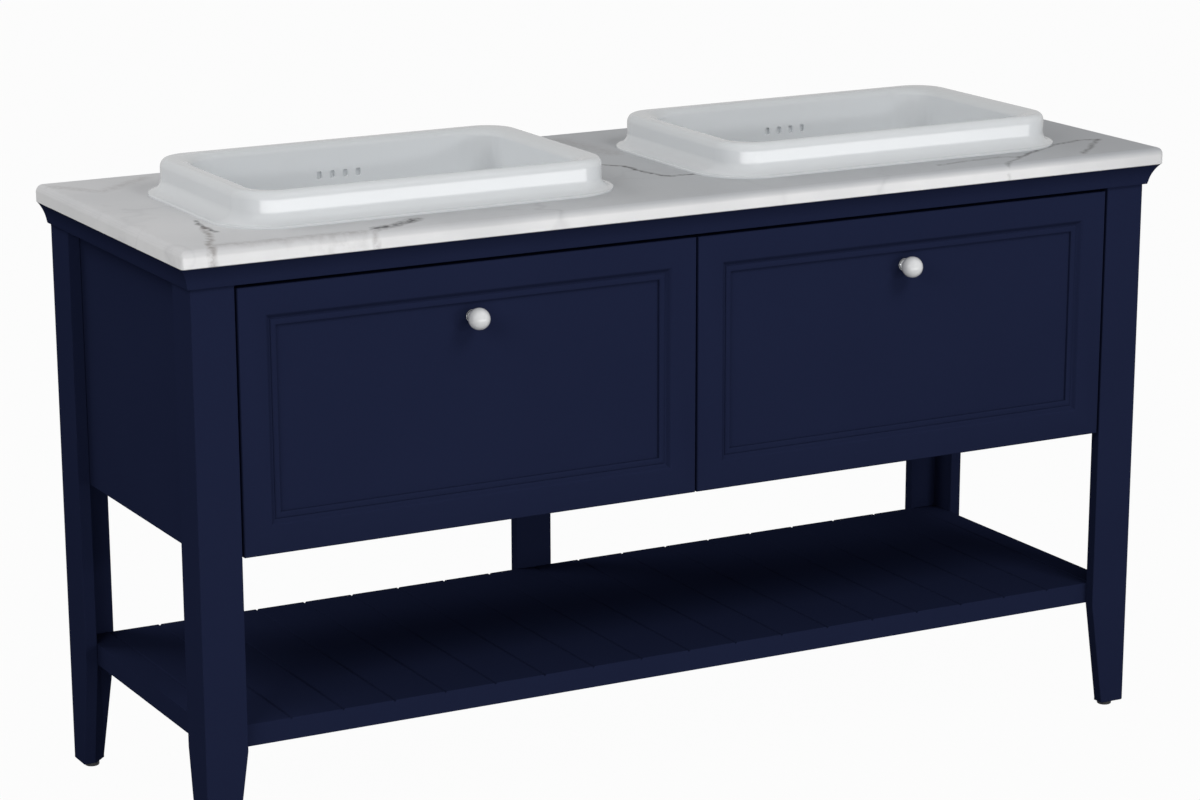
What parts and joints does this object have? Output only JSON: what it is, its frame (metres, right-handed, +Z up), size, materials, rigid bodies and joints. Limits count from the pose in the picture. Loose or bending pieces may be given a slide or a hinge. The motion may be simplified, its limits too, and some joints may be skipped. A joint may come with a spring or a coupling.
{
  "type": "vanity unit",
  "caption": "Wide bathroom vanity on tapered legs with deep sunk-panel drawers, a low grooved shelf, a marble worktop and inset ceramic basins.",
  "frame": {"origin": "middle of the overall box at floor level, under the middle of the unit", "axes": "+X to the right seen from the front, +Y towards the wall, +Z up"},
  "size_m": [1.5, 0.531, 0.883],
  "materials": {
    "painted_wood": "dark navy satin lacquer over solid wood",
    "carcass_wood": "navy lacquered board, inside faces",
    "drawer_wood": "clear lacquered birch",
    "glide_plastic": "moulded grey nylon with a steel nail",
    "marble": "polished white marble with grey veins",
    "basin_ceramic": "glossy white glaze",
    "knob_ceramic": "glossy white glaze",
    "chrome_trim": "polished chrome",
    "trap_chrome": "chrome plated brass tube",
    "waste_brass": "turned brass",
    "runner_steel": "zinc plated rolled steel"
  },
  "bodies": {
    "carcass": {"leg_front_left": "painted_wood", "leg_front_right": "painted_wood", "leg_rear_left": "painted_wood", "leg_rear_right": "painted_wood", "rear_centre_leg": "painted_wood", "side_panel_left": "painted_wood", "side_panel_right": "painted_wood", "side_top_rails": "painted_wood", "front_top_rail": "painted_wood", "cornice_front": "painted_wood", "cornice_left": "painted_wood", "cornice_right": "painted_wood", "shelf": "painted_wood", "leg_corner_blocks": "carcass_wood", "bottom_panel": "carcass_wood", "centre_divider": "carcass_wood", "back_rail_upper": "carcass_wood", "back_rail_lower": "carcass_wood", "runner_packers": "carcass_wood", "foot_glides": "glide_plastic", "worktop": "marble", "basin_left": "basin_ceramic", "waste_body_left": "chrome_trim", "waste_nut_left": "waste_brass", "trap_body_left": "trap_chrome", "trap_cup_left": "trap_chrome", "trap_outlet_pipe_left": "trap_chrome", "runner_cabinet_members_left": "runner_steel", "basin_right": "basin_ceramic", "waste_body_right": "chrome_trim", "waste_nut_right": "waste_brass", "trap_body_right": "trap_chrome", "trap_cup_right": "trap_chrome", "trap_outlet_pipe_right": "trap_chrome", "runner_cabinet_members_right": "runner_steel"},
    "drawer_left": {"drawer_front_left": "painted_wood", "knob_left": "knob_ceramic", "knob_base_left": "chrome_trim", "knob_screw_left": "runner_steel", "drawer_sides_left": "drawer_wood", "drawer_box_front_left": "drawer_wood", "drawer_bottom_left": "drawer_wood", "drawer_backs_left": "drawer_wood", "drawer_notch_surround_left": "drawer_wood", "runner_drawer_members_left": "runner_steel"},
    "runner_middle_left": {"runner_intermediate_members_left": "runner_steel"},
    "plug_left": {"waste_plug_left": "chrome_trim"},
    "drawer_right": {"drawer_front_right": "painted_wood", "knob_right": "knob_ceramic", "knob_base_right": "chrome_trim", "knob_screw_right": "runner_steel", "drawer_sides_right": "drawer_wood", "drawer_box_front_right": "drawer_wood", "drawer_bottom_right": "drawer_wood", "drawer_backs_right": "drawer_wood", "drawer_notch_surround_right": "drawer_wood", "runner_drawer_members_right": "runner_steel"},
    "runner_middle_right": {"runner_intermediate_members_right": "runner_steel"},
    "plug_right": {"waste_plug_right": "chrome_trim"}
  },
  "joints": [
    {"name": "drawer_left_slide", "type": "slide", "parent": "carcass", "child": "drawer_left", "axis": [0, -1, 0], "range_m": [0, 0.36]},
    {"name": "runner_middle_left_slide", "type": "slide", "parent": "carcass", "child": "runner_middle_left", "axis": [0, -1, 0], "range_m": [0, 0.18]},
    {"name": "plug_left_lift", "type": "slide", "parent": "carcass", "child": "plug_left", "axis": [0, 0, 1], "range_m": [0, 0.008]},
    {"name": "drawer_right_slide", "type": "slide", "parent": "carcass", "child": "drawer_right", "axis": [0, -1, 0], "range_m": [0, 0.36]},
    {"name": "runner_middle_right_slide", "type": "slide", "parent": "carcass", "child": "runner_middle_right", "axis": [0, -1, 0], "range_m": [0, 0.18]},
    {"name": "plug_right_lift", "type": "slide", "parent": "carcass", "child": "plug_right", "axis": [0, 0, 1], "range_m": [0, 0.008]}
  ],
  "couplings": [
    {"joint": "runner_middle_left_slide", "follows": "drawer_left_slide", "ratio": 0.5},
    {"joint": "runner_middle_right_slide", "follows": "drawer_right_slide", "ratio": 0.5}
  ]
}
